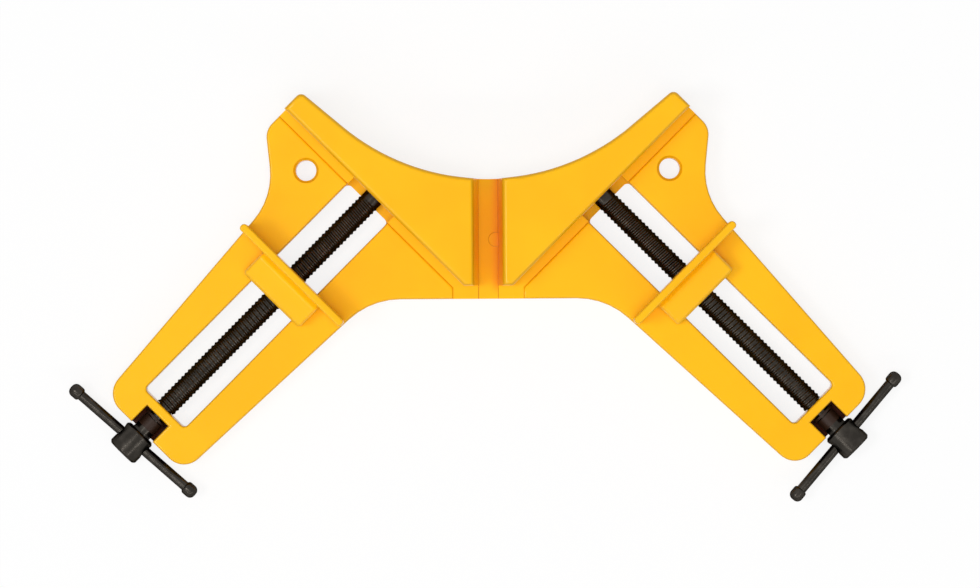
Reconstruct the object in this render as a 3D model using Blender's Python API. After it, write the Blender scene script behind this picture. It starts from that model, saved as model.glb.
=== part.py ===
"""Corner clamp for picture frames: a die-cast V base with two fixed fences and two screw-driven jaws."""
import math

import bmesh
import bpy
from mathutils import Matrix, Vector

# Every length below is in millimetres. An arm is drawn in its own plan axes: u runs outwards from
# the fence face along the arm, v runs along the fence from the point where both fence faces meet.
mm = 0.001
root2 = math.sqrt(2)

# The base casting, seen from above. Everything along the arm is set out from the slot's middle line.
apexY = -20.0
bottomEdgeY = 3.55
bottomFilletR = 24.0
slotV = 50.7
armInner = ((36.0, slotV - 21.4), (100.0, slotV - 18.5))
armOuter = ((38.0, slotV + 21.4), (100.0, slotV + 16.8))
armEndU = 103.8
armInnerCornerR = 6.5
armOuterCornerR = 7.0
waistU = 22.4
waistV = slotV + 22.5
waistR = 22.0
earEndV = slotV + 39.0
earCornerU = 9.0
earCornerR = 6.0
earTipRise = 2.07
earTipR = 2.0
topArcR = 70.3
topArcLowY = 41.2

# Heights of the casting
plateTop = 13.0
fenceTop = 34.0
channelDepth = 0.8
skin = 3.0
rimWall = 3.0
fenceWall = 3.5
tipBossWidth = 11.0
hollowShortest = 1.5
hollowThinnest = 3.0

# Fence foot, nose and the saw groove on the centre line
channelU = 2.8
jogX = 11.1
noseY = 7.7
grooveFloor = 6.0
grooveTop = 8.4
centreRib = 6.4

# Slot, screw line and the ways the jaw runs in
slotWidth = 17.6
slotStart = 2.7
endBlock = 10.1
slotEnd = armEndU - endBlock
slotCornerR = 1.5
railWidth = 3.4
screwZ = 7.6
wayTop = 3.0
wayMargin = 0.5
bridgeWall = 3.6
hubPocketWidth = 8.6
hubPocketFloor = 2.4
shelfZ = 3.4
benchHole = (9.15, slotV + 21.0)
benchHoleD = 6.5
benchBossD = 13.2
ribPitch = 21.0
ribWidth = 2.6

# Sliding jaw at the opening the photo shows
jawFaceU = 34.2
jawWall = 2.5
jawInnerV = slotV - 21.2
jawOuterV = slotV + 22.9
jawBackU = jawFaceU + 11.6
jawBlockWidth = 24.6
jawBlockTop = 25.5
jawBlockBackTop = 21.5
jawEndR = 1.0
tongueWidth = slotWidth - 0.7
keeperThickness = 1.8
keeperScrewOffset = 6.2
keeperScrewD = 2.5
keeperScrewHeadD = 4.8
keeperScrewTop = 11.5

# Lead screw, its head and the sliding cross bar
threadD = 6.8
journalD = 5.0
tipD = 6.5
tipLength = 5.0
headD = 10.3
headStart = armEndU + 0.6
headLength = 8.6
headChamfer = 0.7
hubD = 6.6
washerD = 8.0
washerThickness = 0.7
headPinD = 2.0
headPinU = armEndU - 2.6
barU = headStart + 3.6
barD = 3.0
barHoleD = 4.0
barEndSpacing = 47.6
barEndLength = 4.4
barEndD = 4.4
barLean = {"left": 3.5, "right": 4.7}

# Room left between neighbouring pieces
gap = 0.3

sides = {"right": 1, "left": -1}
slotLow = slotV - slotWidth / 2
slotHigh = slotV + slotWidth / 2


def clearScene():
    for obj in list(bpy.data.objects):
        bpy.data.objects.remove(obj, do_unlink=True)


def plan(u, v):
    """Arm axes of the right arm to plan X and Y, in millimetres from the fences' meeting point."""
    return ((u + v) / root2, (v - u) / root2)


def point(x, y, z):
    """Plan millimetres and a height to a point of the finished part, in metres."""
    return Vector((x, y + apexY, z)) * mm


def armPoint(u, v, z):
    x, y = plan(u, v)
    return point(x, y, z)


outward = Vector((1, -1, 0)) / root2
along = Vector((1, 1, 0)) / root2


def lineAt(line, u):
    (u0, v0), (u1, v1) = line
    return v0 + (v1 - v0) * (u - u0) / (u1 - u0)


def rounded(corners, step=12.0):
    """Turn corners (x, y, radius) into outline points, each corner replaced by its tangent arc."""
    points = []
    count = len(corners)
    for i, (x, y, radius) in enumerate(corners):
        here = Vector((x, y))
        if radius <= 0:
            points.append((x, y))
            continue
        before = (Vector(corners[i - 1][:2]) - here).normalized()
        after = (Vector(corners[(i + 1) % count][:2]) - here).normalized()
        half = before.angle(after) / 2
        centre = here + (before + after).normalized() * (radius / math.sin(half))
        start = here + before * (radius / math.tan(half))
        sweep = math.pi - 2 * half
        turn = 1 if before.x * after.y - before.y * after.x < 0 else -1
        steps = max(2, math.ceil(math.degrees(sweep) / step))
        arm = start - centre
        for k in range(steps + 1):
            spoke = arm.copy()
            spoke.rotate(Matrix.Rotation(turn * sweep * k / steps, 2))
            points.append(tuple(centre + spoke))
    return points


def newObject(name, bm, tidy=True):
    if tidy:
        bmesh.ops.recalc_face_normals(bm, faces=bm.faces)
    mesh = bpy.data.meshes.new(name)
    bm.to_mesh(mesh)
    bm.free()
    obj = bpy.data.objects.new(name, mesh)
    bpy.context.scene.collection.objects.link(obj)
    return obj


def prism(name, outline, low, high):
    """Upright prism over plan points between two heights."""
    bm = bmesh.new()
    face = bm.faces.new([bm.verts.new(point(x, y, low)) for x, y in outline])
    grown = bmesh.ops.extrude_face_region(bm, geom=[face])
    tops = [g for g in grown["geom"] if isinstance(g, bmesh.types.BMVert)]
    bmesh.ops.translate(bm, vec=Vector((0, 0, high - low)) * mm, verts=tops)
    return newObject(name, bm)


def armPrism(name, corners, low, high, radius=0.0):
    """Upright prism over corners given in arm axes."""
    flat = [(*plan(u, v), radius) for u, v in corners]
    return prism(name, rounded(flat), low, high)


def armBox(name, uRange, vRange, low, high, radius=0.0):
    (u0, u1), (v0, v1) = uRange, vRange
    return armPrism(name, [(u0, v0), (u1, v0), (u1, v1), (u0, v1)], low, high, radius)


def rod(name, start, axis, profile, segments=28):
    """Turned body: profile lists (distance along the axis, radius) from one end to the other."""
    axis = axis.normalized()
    bm = bmesh.new()
    rings = []
    for distance, radius in profile:
        rings.append([
            bm.verts.new((radius * mm * math.cos(a), radius * mm * math.sin(a), distance * mm))
            for a in (2 * math.pi * k / segments for k in range(segments))
        ])
    for lower, upper in zip(rings, rings[1:]):
        for k in range(segments):
            after = (k + 1) % segments
            bm.faces.new((lower[k], lower[after], upper[after], upper[k]))
    bm.faces.new(rings[0])
    bm.faces.new(rings[-1])
    turn = Vector((0, 0, 1)).rotation_difference(axis).to_matrix().to_4x4()
    bmesh.ops.transform(bm, matrix=Matrix.Translation(start) @ turn, verts=bm.verts)
    return newObject(name, bm)


def ring(name, start, axis, outer, inner, length, segments=28):
    """Flat washer."""
    body = rod(name, start, axis, [(0, outer), (length, outer)], segments)
    hole = rod(name + "_hole", start - axis * mm, axis, [(0, inner), (length + 2, inner)], segments)
    return cut(body, hole)


def bake(obj):
    """Replace the object's mesh by the result of its modifiers."""
    graph = bpy.context.evaluated_depsgraph_get()
    mesh = bpy.data.meshes.new_from_object(obj.evaluated_get(graph))
    obj.modifiers.clear()
    obj.data = mesh
    return obj


def combine(obj, tools, operation):
    for tool in tools:
        step = obj.modifiers.new(tool.name, "BOOLEAN")
        step.operation = operation
        step.solver = "EXACT"
        step.object = tool
        bake(obj)
        bpy.data.objects.remove(tool, do_unlink=True)
    return obj


def cut(obj, *tools):
    return combine(obj, tools, "DIFFERENCE")


def join(obj, *tools):
    return combine(obj, tools, "UNION")


def soften(obj, width, angle=50.0, segments=2):
    """Round the body's edges that turn by more than the angle."""
    edge = obj.modifiers.new("edges", "BEVEL")
    edge.width = width * mm
    edge.segments = segments
    edge.limit_method = "ANGLE"
    edge.angle_limit = math.radians(angle)
    return bake(obj)


def circleMeets(line, radius, centreY):
    """The v where the line u = line[0] crosses the circle about (0, centreY), between line[1] and line[2]."""
    u, low, high = line
    for _ in range(60):
        middle = (low + high) / 2
        x, y = plan(u, middle)
        if math.hypot(x, y - centreY) > radius:
            low = middle
        else:
            high = middle
    return low


# Base casting. Half of it is built past the centre line, and the mirror trims and joins the halves.

arcCentreY = topArcLowY + topArcR


def topArc(radius, xFrom, xTo, steps):
    """Points of the hollow top arc, from one X to another."""
    angles = [math.asin(x / radius) for x in (xFrom, xTo)]
    spread = [angles[0] + (angles[1] - angles[0]) * k / steps for k in range(steps + 1)]
    return [(radius * math.sin(a), arcCentreY - radius * math.cos(a)) for a in spread]


def fromArcCentre(x, y):
    return math.hypot(x, y - arcCentreY)


def earTip():
    """The ear's outermost point: on the ear's end line, a little outside the circle of the top arc."""
    low, high = earCornerU - earEndV / 2, earCornerU
    for _ in range(50):
        middle = (low + high) / 2
        if fromArcCentre(*plan(middle, earEndV)) < topArcR + earTipRise:
            low = middle
        else:
            high = middle
    return plan(high, earEndV)


def tangentX():
    """X where the straight line from the ear tip touches the top arc, a little in from the tip at least."""
    tip = Vector(earTip()) - Vector((0, arcCentreY))
    reach = math.acos(min(1.0, topArcR / tip.length))
    angle = math.atan2(tip.x, -tip.y) - max(reach, 1.5 * earTipR / topArcR)
    return topArcR * math.sin(angle)


def baseOutline():
    direction = Vector(plan(*armInner[1])) - Vector(plan(*armInner[0]))
    start = Vector(plan(*armInner[0]))
    kneeX = start.x + direction.x * (bottomEdgeY - start.y) / direction.y
    corners = [
        (-2.0, bottomEdgeY, 0),
        (kneeX, bottomEdgeY, bottomFilletR),
        (*plan(armEndU, lineAt(armInner, armEndU)), armInnerCornerR),
        (*plan(armEndU, lineAt(armOuter, armEndU)), armOuterCornerR),
        (*plan(waistU, waistV), waistR),
        (*plan(earCornerU, earEndV), earCornerR),
        (*earTip(), earTipR),
    ]
    arc = topArc(topArcR, tangentX(), -2.0, 18)
    corners += [(x, y, 0) for x, y in arc]
    return rounded(corners, 9.0)


def uOf(x, y):
    return (x - y) / root2


def splitFlat(bm, faces, through, normal):
    """Split some flat faces along the plan line through a point."""
    geometry = set(faces)
    for face in faces:
        geometry.update(face.edges)
        geometry.update(face.verts)
    bmesh.ops.bisect_plane(
        bm, geom=list(geometry), dist=1e-7, plane_co=point(*through, 0), plane_no=(*normal, 0)
    )


def centreOf(face):
    middle = face.calc_center_median() / mm
    return middle.x, middle.y - apexY


def raiseFaces(bm, faces, height, keepFloor=False):
    """Extrude flat faces upwards; the faces they rise from stay only where they are the body's underside."""
    grown = bmesh.ops.extrude_face_region(bm, geom=faces)
    tops = [g for g in grown["geom"] if isinstance(g, bmesh.types.BMVert)]
    bmesh.ops.translate(bm, vec=Vector((0, 0, height)) * mm, verts=tops)
    raised = [g for g in grown["geom"] if isinstance(g, bmesh.types.BMFace)]
    if not keepFloor:
        bmesh.ops.delete(bm, geom=[f for f in faces if f.is_valid], context="FACES")
    return raised


def roundTopEdges(bm, height, width, footHeight):
    """Round the outer edges at one height, where the wall below reaches down to footHeight."""
    picked = []
    for edge in bm.edges:
        if any(abs(v.co.z / mm - height) > 0.01 for v in edge.verts) or len(edge.link_faces) != 2:
            continue
        lows = sorted(min(v.co.z for v in f.verts) / mm for f in edge.link_faces)
        if lows[0] < footHeight + 0.01 and abs(lows[1] - height) < 0.01:
            picked.append(edge)
    bmesh.ops.bevel(
        bm, geom=picked, offset=width * mm, segments=3, profile=0.5, affect="EDGES", clamp_overlap=True
    )


def terraces():
    """The casting's half as one closed body with its three levels: channel, plate and fence block."""
    bm = bmesh.new()
    bm.faces.new([bm.verts.new(point(x, y, 0)) for x, y in baseOutline()])
    channelTop = plateTop - channelDepth
    splitFlat(bm, list(bm.faces), plan(channelU, 0), outward.xy)
    splitFlat(bm, [f for f in bm.faces if uOf(*centreOf(f)) < channelU], (0, 0), outward.xy)
    splitFlat(bm, [f for f in bm.faces if uOf(*centreOf(f)) > channelU], (jogX, 0), (1, 0))
    splitFlat(bm, [f for f in bm.faces if uOf(*centreOf(f)) < 0], (0, noseY), (0, 1))

    def isBlock(face):
        x, y = centreOf(face)
        return uOf(x, y) < 0 and y > noseY

    splitFlat(bm, [f for f in bm.faces if isBlock(f)], (grooveFloor / 2, 0), (1, 0))
    tops = raiseFaces(bm, list(bm.faces), channelTop, keepFloor=True)
    block = [f for f in tops if isBlock(f) and centreOf(f)[0] > grooveFloor / 2]
    plate = [f for f in tops if uOf(*centreOf(f)) > channelU and centreOf(f)[0] > jogX]
    raiseFaces(bm, plate, channelDepth)
    raised = raiseFaces(bm, block, fenceTop - channelTop)
    for vert in {v for f in raised for v in f.verts}:
        if abs(vert.co.x / mm - grooveFloor / 2) < 0.001:
            vert.co.x = grooveTop / 2 * mm
    roundTopEdges(bm, plateTop, 0.8, 0)
    roundTopEdges(bm, fenceTop, 1.0, channelTop)
    return newObject("base_casting", bm)


def blockHollows():
    """Underside hollows in the fence block, either side of the boss for the screw tip."""
    innerR = topArcR + fenceWall
    wallX = grooveTop / 2 + fenceWall
    bossLow, bossHigh = slotV - tipBossWidth / 2, slotV + tipBossWidth / 2
    endV = circleMeets((-fenceWall - hollowThinnest, bossHigh, earEndV), innerR, arcCentreY)
    tools = []
    startV = wallX * root2 + fenceWall
    for name, v0, v1 in (("near", startV, bossLow), ("far", bossHigh, endV)):
        if v1 - v0 < hollowShortest:
            continue
        arc = []
        for k in range(9):
            v = v1 + (v0 - v1) * k / 8
            low, high = -40.0, -fenceWall
            for _ in range(50):
                middle = (low + high) / 2
                x, y = plan(middle, v)
                inside = math.hypot(x, y - arcCentreY) > innerR
                low, high = (low, middle) if inside else (middle, high)
            arc.append(plan(high, v))
        fence = [plan(-fenceWall, v0), plan(-fenceWall, v1)]
        if name == "near":
            arc = [(x, y) for x, y in arc if x > wallX + 0.4]
            arc.append(topArc(innerR, wallX, wallX, 1)[0])
        tools.append(prism("hollow_" + name, fence + arc, -1.0, fenceTop - skin))
    return tools


def plateHollows():
    """Underside hollows in the plate, with ribs left between them."""
    tools = []
    railLow = slotLow - railWidth
    railHigh = slotHigh + railWidth
    depth = plateTop - skin

    def inner(u):
        return max(lineAt(armInner, u) + rimWall, u + (bottomEdgeY + rimWall) * root2)

    cornerDepth = depth - channelDepth
    startU = 0.6
    middleU = 13.0
    tools.append(armPrism(
        "corner_hollow", [(startU, inner(startU) + 1.5), (middleU, inner(middleU) + 1.5),
                          (middleU, railLow), (startU, railLow)], -1.0, cornerDepth, 0.6))
    u = middleU + ribWidth
    while u < slotEnd - 6:
        after = min(u + ribPitch - ribWidth, slotEnd + 2)
        if u < armInner[0][0] - 12:
            innerStart = u + (bottomEdgeY + rimWall + 1.0) * root2
            innerKnee = lineAt(armInner, u) + rimWall + 1.0
            corners = [(u, max(innerStart, innerKnee)), (after, lineAt(armInner, after) + rimWall)]
        else:
            corners = [(u, lineAt(armInner, u) + rimWall), (after, lineAt(armInner, after) + rimWall)]
        corners += [(after, railLow), (u, railLow)]
        tools.append(armPrism("inner_hollow", corners, -1.0, depth, 0.6))
        u = after + ribWidth
    u = 32.0
    while lineAt(armOuter, u + ribPitch) - rimWall > railHigh + 1.5:
        after = u + ribPitch - ribWidth
        tools.append(armPrism(
            "outer_hollow", [(u, railHigh), (after, railHigh), (after, lineAt(armOuter, after) - rimWall),
                             (u, lineAt(armOuter, u) - rimWall)], -1.0, depth, 0.6))
        u = after + ribWidth
    earInside = earEndV - rimWall - 0.3
    ear = armPrism(
        "ear_hollow", [(startU, railHigh), (waistU + 5.6, railHigh), (waistU + 5.6, waistV - rimWall - 0.1),
                       (waistU - 1.6, waistV - rimWall + 0.7), (earCornerU - 2.8, earInside), (startU, earInside)],
        -1.0, cornerDepth, 0.6)
    boss = rod("ear_boss", armPoint(*benchHole, -2.0), Vector((0, 0, 1)),
               [(0, benchBossD / 2), (plateTop + 4, benchBossD / 2)], 32)
    ribU = benchHole[0] + benchBossD / 2 - ribWidth
    rib = armBox("ear_rib", (ribU, ribU + ribWidth), (railHigh - 3, earEndV), -2.0, plateTop)
    tools.append(cut(ear, boss, rib))
    return tools


def screwBore(name, u0, u1, diameter, segments=32):
    return rod(name, armPoint(u0, slotV, screwZ), outward,
               [(0, diameter / 2), (u1 - u0, diameter / 2)], segments)


def buildBase():
    body = terraces()
    cut(body, *blockHollows())
    cut(body, *plateHollows())
    centre = [(centreRib / 2, bottomEdgeY + rimWall + 3.0), (grooveTop / 2 + 4.4, bottomEdgeY + rimWall + 9.0),
              (grooveTop / 2 + 4.4, topArcLowY - fenceWall), (centreRib / 2, topArcLowY - fenceWall)]
    cut(body, prism("groove_hollow", centre, -1.0, plateTop - channelDepth - skin))
    slot = armBox("slot", (slotStart, slotEnd), (slotLow, slotHigh), -2.0, plateTop + 2.0, slotCornerR)
    ways = armBox("ways", (slotStart + 0.5, slotEnd - 0.4),
                  (slotLow - railWidth - wayMargin, slotHigh + railWidth + wayMargin), -2.0, wayTop, 1.0)
    shelf = armBox("shelf", (0.05, slotStart + 1.0), (slotLow, slotHigh), shelfZ, plateTop + 2.0)
    hubPocket = armBox("hub_pocket", (slotEnd + bridgeWall, armEndU + 4),
                       (slotV - hubPocketWidth / 2, slotV + hubPocketWidth / 2), hubPocketFloor, plateTop + 2.0)
    cut(body, slot, ways, shelf, hubPocket)
    cut(body, screwBore("tip_bore", -tipLength - 0.4, 1.0, tipD + 2 * gap),
        screwBore("journal_bore", slotEnd - 2, slotEnd + bridgeWall + 2, journalD + 2 * gap))
    cut(body, rod("bench_hole", armPoint(*benchHole, -2.0), Vector((0, 0, 1)),
                  [(0, benchHoleD / 2), (plateTop + 4, benchHoleD / 2)], 40))
    twin = body.modifiers.new("other half", "MIRROR")
    twin.use_axis = (True, False, False)
    twin.use_bisect_axis = (True, False, False)
    twin.use_mirror_merge = True
    twin.merge_threshold = 0.00002
    return bake(body)


# Sliding jaws. Each is modelled on the right arm and mirrored to the left one.

jawMidU = (jawFaceU + jawWall + jawBackU) / 2


def buildJaw():
    floor = plateTop + gap
    wall = armBox("right_jaw", (jawFaceU, jawFaceU + jawWall), (jawInnerV, jawOuterV), floor, fenceTop, jawEndR)
    soften(wall, 0.5, 60.0)
    blockLow = slotV - jawBlockWidth / 2
    bm = bmesh.new()
    profile = [(jawFaceU + 1.0, floor), (jawBackU, floor), (jawBackU, jawBlockBackTop),
               (jawBackU - 1.2, jawBlockBackTop + 0.9), (jawFaceU + 1.0, jawBlockTop + 1.2)]
    face = bm.faces.new([bm.verts.new(armPoint(u, blockLow, z)) for u, z in profile])
    grown = bmesh.ops.extrude_face_region(bm, geom=[face])
    far = [g for g in grown["geom"] if isinstance(g, bmesh.types.BMVert)]
    bmesh.ops.translate(bm, vec=along * jawBlockWidth * mm, verts=far)
    block = newObject("jaw_block", bm)
    soften(block, 0.9, 60.0)
    tongue = armBox("jaw_tongue", (jawFaceU + jawWall + 0.2, jawBackU - 0.2),
                    (slotV - tongueWidth / 2, slotV + tongueWidth / 2), wayTop, floor + 2.0, 0.8)
    jaw = join(wall, block, tongue)
    cut(jaw, screwBore("nut_bore", jawFaceU - 4, jawBackU + 4, threadD + 0.4))
    for place in (-keeperScrewOffset, keeperScrewOffset):
        cut(jaw, rod("pilot", armPoint(jawMidU, slotV + place, wayTop - 1), Vector((0, 0, 1)),
                     [(0, keeperScrewD / 2 + 0.2), (keeperScrewTop - wayTop + 1.3, keeperScrewD / 2 + 0.2)], 16))
    return jaw


keeperTop = wayTop - gap
keeperBottom = keeperTop - keeperThickness


def screwHeadProfile(extra):
    """Countersunk head below a plain shank, grown all round by the extra millimetres."""
    head = keeperScrewHeadD / 2 + extra
    shank = keeperScrewD / 2 + extra
    return [(0, head), (0.25, head), (0.25 + head - shank, shank)]


def buildKeeper():
    plate = armBox("right_keeper_plate", (jawFaceU + jawWall + 0.4, jawBackU - 0.4),
                   (slotV - jawBlockWidth / 2, slotV + jawBlockWidth / 2), keeperBottom, keeperTop, 1.0)
    for place in (-keeperScrewOffset, keeperScrewOffset):
        sink = [(-1.0, keeperScrewHeadD / 2 + 0.25)] + screwHeadProfile(0.25)
        sink.append((keeperThickness + 1.0, keeperScrewD / 2 + 0.25))
        cut(plate, rod("sink", armPoint(jawMidU, slotV + place, keeperBottom), Vector((0, 0, 1)), sink, 18))
    return plate


def buildKeeperScrew(name, place):
    foot = armPoint(jawMidU, slotV + place, keeperBottom)
    length = keeperScrewTop - keeperBottom
    shape = screwHeadProfile(0.0)
    shape += [(length - 0.5, keeperScrewD / 2), (length, keeperScrewD / 2 - 0.5)]
    screw = rod("right_keeper_screw_" + name, foot, Vector((0, 0, 1)), shape, 18)
    for turn in (45, 135):
        slit = bmesh.new()
        bmesh.ops.create_cube(slit, size=mm)
        bmesh.ops.scale(slit, vec=(2.6, 0.5, 1.6), verts=slit.verts)
        bmesh.ops.rotate(slit, matrix=Matrix.Rotation(math.radians(turn), 3, "Z"), verts=slit.verts)
        bmesh.ops.translate(slit, vec=foot, verts=slit.verts)
        cut(screw, newObject("slit", slit))
    return screw


# Lead screw, head, washer, pin and the cross bar with its two ends

def buildLeadScrew():
    start = armPoint(-tipLength, slotV, screwZ)
    thread, journal, tip = threadD / 2, journalD / 2, tipD / 2
    firstThread = slotStart - 0.3
    lastThread = slotEnd - gap
    end = barU - barHoleD / 2 - 0.6
    steps = [(0, tip - 0.5), (0.5, tip), (firstThread, tip), (firstThread + 0.4, thread),
             (lastThread - 0.6, thread), (lastThread, thread - 0.6), (lastThread, journal),
             (end - 0.5, journal), (end, journal - 0.5)]
    profile = [(d if i < 2 else d + tipLength, r) for i, (d, r) in enumerate(steps)]
    screw = rod("right_lead_screw", start, outward, profile)
    hole = headPinD / 2 + 0.15
    return cut(screw, rod("pin_hole", armPoint(headPinU, slotV, -2), Vector((0, 0, 1)),
                          [(0, hole), (20, hole)], 14))


def buildWasher():
    start = armPoint(slotEnd + bridgeWall + gap, slotV, screwZ)
    return ring("right_thrust_washer", start, outward, washerD / 2, journalD / 2 + gap, washerThickness)


def buildHead(side):
    hubStart = slotEnd + bridgeWall + 2 * gap + washerThickness
    head, hub = headD / 2, hubD / 2
    start = armPoint(hubStart, slotV, screwZ)
    neck = headStart - hubStart
    length = headStart + headLength - hubStart
    body = rod(side + "_screw_head", start, outward,
               [(0, hub), (neck, hub), (neck, head - headChamfer), (neck + headChamfer, head),
                (length - headChamfer, head), (length, head - headChamfer)], 32)
    bore = journalD / 2 + gap / 2
    cut(body, rod("head_bore", start - outward * mm, outward,
                  [(0, bore), (barU - barHoleD / 2 - 0.3 - hubStart + 1, bore)], 24))
    cut(body, rod("cross_hole", armPoint(barU, slotV - headD, screwZ), along,
                  [(0, barHoleD / 2), (2 * headD, barHoleD / 2)], 24))
    pin = headPinD / 2 + 0.15
    return cut(body, rod("head_pin_hole", armPoint(headPinU, slotV, -2), Vector((0, 0, 1)),
                         [(0, pin), (20, pin)], 14))


def buildHeadPin():
    low, high = screwZ - hubD / 2 + 0.15, screwZ + hubD / 2 - 0.15
    return rod("right_head_pin", armPoint(headPinU, slotV, low), Vector((0, 0, 1)),
               [(0, headPinD / 2 - 0.2), (0.2, headPinD / 2), (high - low - 0.2, headPinD / 2),
                (high - low, headPinD / 2 - 0.2)], 14)


def barAxis(side):
    """Direction of the cross bar, along the fence and leaning in its loose hole as the photo shows."""
    direction = along.copy()
    direction.x *= sides[side]
    direction.rotate(Matrix.Rotation(math.radians(barLean[side]), 3, "Z"))
    return direction


def barCentre(side):
    middle = armPoint(barU, slotV, screwZ)
    middle.x *= sides[side]
    return middle


def buildBar(side):
    axis = barAxis(side)
    half = barEndSpacing / 2 + barEndLength / 2 - 0.8
    radius = barD / 2
    return rod(side + "_cross_bar", barCentre(side) - axis * half * mm, axis,
               [(0, radius - 0.3), (0.3, radius), (2 * half - 0.3, radius), (2 * half, radius - 0.3)], 20)


def buildBarEnd(side, name, way):
    """Rounded cap swaged on one end of the bar."""
    axis = barAxis(side) * way
    start = barCentre(side) + axis * (barEndSpacing / 2 - barEndLength / 2) * mm
    radius = barEndD / 2
    shape = [(0, radius - 0.5), (0.4, radius), (barEndLength - 0.9, radius), (barEndLength - 0.3, radius - 0.4),
             (barEndLength, radius - 1.1)]
    cap = rod(f"{side}_bar_end_{name}", start, axis, shape, 20)
    bore = barD / 2 + 0.15
    return cut(cap, rod("cap_bore", start - axis * mm, axis, [(0, bore), (barEndLength + 1 - 0.65, bore)], 20))


# Materials, joints' origins and the finished nodes

finishes = {
    "yellow paint": ((0.95, 0.47, 0.012), 0.38, 0.0),
    "black oxide": ((0.02, 0.019, 0.018), 0.42, 0.9),
    "zinc": ((0.62, 0.63, 0.65), 0.35, 1.0),
}


def material(name, finish):
    colour, roughness, metallic = finishes[finish]
    made = bpy.data.materials.new(name)
    made.use_nodes = True
    shader = made.node_tree.nodes["Principled BSDF"]
    shader.inputs["Base Color"].default_value = (*colour, 1)
    shader.inputs["Roughness"].default_value = roughness
    shader.inputs["Metallic"].default_value = metallic
    made.diffuse_color = (*colour, 1)
    made.roughness = roughness
    made.metallic = metallic
    return made


def finish(obj, kind, origin=None):
    """Give a node its material, smooth shading and the origin its joint needs."""
    obj.data.materials.clear()
    obj.data.materials.append(material(obj.name + " " + kind, kind))
    obj.data.shade_smooth()
    obj.data.set_sharp_from_angle(angle=math.radians(35))
    if origin is not None:
        obj.data.transform(Matrix.Translation(-origin))
        obj.location = origin


def mirrored(obj, name):
    """A left-hand twin of a right-hand body, with its faces turned outwards again."""
    bm = bmesh.new()
    bm.from_mesh(obj.data)
    bmesh.ops.scale(bm, vec=(-1, 1, 1), verts=bm.verts)
    bmesh.ops.reverse_faces(bm, faces=bm.faces)
    return newObject(name, bm, tidy=False)


def build():
    clearScene()
    finish(buildBase(), "yellow paint")
    pieces = [
        ("jaw", buildJaw(), "yellow paint", jawMidU),
        ("keeper_plate", buildKeeper(), "zinc", jawMidU),
        ("keeper_screw_inner", buildKeeperScrew("inner", -keeperScrewOffset), "zinc", jawMidU),
        ("keeper_screw_outer", buildKeeperScrew("outer", keeperScrewOffset), "zinc", jawMidU),
        ("lead_screw", buildLeadScrew(), "black oxide", headStart),
        ("thrust_washer", buildWasher(), "black oxide", headStart),
        ("screw_head", buildHead("right"), "black oxide", headStart),
        ("head_pin", buildHeadPin(), "black oxide", headStart),
    ]
    for name, right, kind, originU in pieces:
        left = mirrored(right, "left_" + name)
        for obj, way in ((right, 1), (left, -1)):
            origin = armPoint(originU, slotV, screwZ)
            origin.x *= way
            finish(obj, kind, origin)
    for side in sides:
        finish(buildBar(side), "black oxide", barCentre(side))
        for name, way in (("outer", 1), ("inner", -1)):
            finish(buildBarEnd(side, name, way), "black oxide", barCentre(side))


build()
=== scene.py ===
import math

import bmesh
import bpy
from mathutils import Matrix, Vector


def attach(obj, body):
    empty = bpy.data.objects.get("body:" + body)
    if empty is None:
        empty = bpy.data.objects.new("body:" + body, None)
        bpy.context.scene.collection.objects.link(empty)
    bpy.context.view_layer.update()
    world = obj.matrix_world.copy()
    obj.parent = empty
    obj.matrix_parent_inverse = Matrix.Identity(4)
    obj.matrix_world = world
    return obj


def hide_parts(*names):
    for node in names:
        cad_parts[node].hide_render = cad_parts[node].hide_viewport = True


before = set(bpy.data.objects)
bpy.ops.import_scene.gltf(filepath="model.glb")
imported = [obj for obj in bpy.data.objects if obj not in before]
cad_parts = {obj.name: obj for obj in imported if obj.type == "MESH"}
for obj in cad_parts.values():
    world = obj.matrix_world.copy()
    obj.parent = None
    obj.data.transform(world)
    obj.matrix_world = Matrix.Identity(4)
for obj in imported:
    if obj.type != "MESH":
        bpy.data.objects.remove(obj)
scene = bpy.context.scene
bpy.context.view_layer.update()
mm = 0.001
weldReach = 0.00001  # points nearer than this, in metres, are one
sideWay = {"right": 1, "left": -1}

# The clamp's own layout, in millimetres. On each arm u runs outwards from the fence face and v runs
# along the fence, from the point where both fence faces meet.
layout = {
    "apexY": -20.0,
    "slotV": 50.7,
    "screwZ": 7.6,
    "plateTop": 13.0,
    "fenceTop": 34.0,
}


def armPoint(side, u, v, z):
    x = (u + v) / math.sqrt(2)
    y = (v - u) / math.sqrt(2)
    return Vector((sideWay[side] * x, y + layout["apexY"], z)) * mm


def placeOnArm(piece, side):
    # what is drawn with u along X and v along Y turns to the right arm, and its mirror image to the left
    turn = Matrix.Translation((0, layout["apexY"] * mm, 0)) @ Matrix.Rotation(-math.pi / 4, 4, "Z")
    piece.matrix_world = Matrix.Scale(sideWay[side], 4, (1, 0, 0)) @ turn @ piece.matrix_world
    applyPlace(piece)
    startEdit(piece)
    bpy.ops.mesh.select_all(action="SELECT")
    bpy.ops.mesh.normals_make_consistent(inside=False)
    endEdit()


def armOut(side):
    return Vector((sideWay[side], -1, 0)).normalized()


def armAlong(side):
    return Vector((sideWay[side], 1, 0)).normalized()


# Working helpers

def only(piece):
    bpy.ops.object.select_all(action="DESELECT")
    piece.select_set(True)
    bpy.context.view_layer.objects.active = piece


def applyPlace(piece):  # the piece's place goes into its mesh
    only(piece)
    bpy.ops.object.transform_apply(location=True, rotation=True, scale=True)


def startEdit(piece):
    only(piece)
    bpy.ops.object.mode_set(mode="EDIT")
    bpy.ops.mesh.select_mode(type="FACE")
    bpy.ops.mesh.select_all(action="DESELECT")


def endEdit():
    bpy.ops.object.mode_set(mode="OBJECT")


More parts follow.
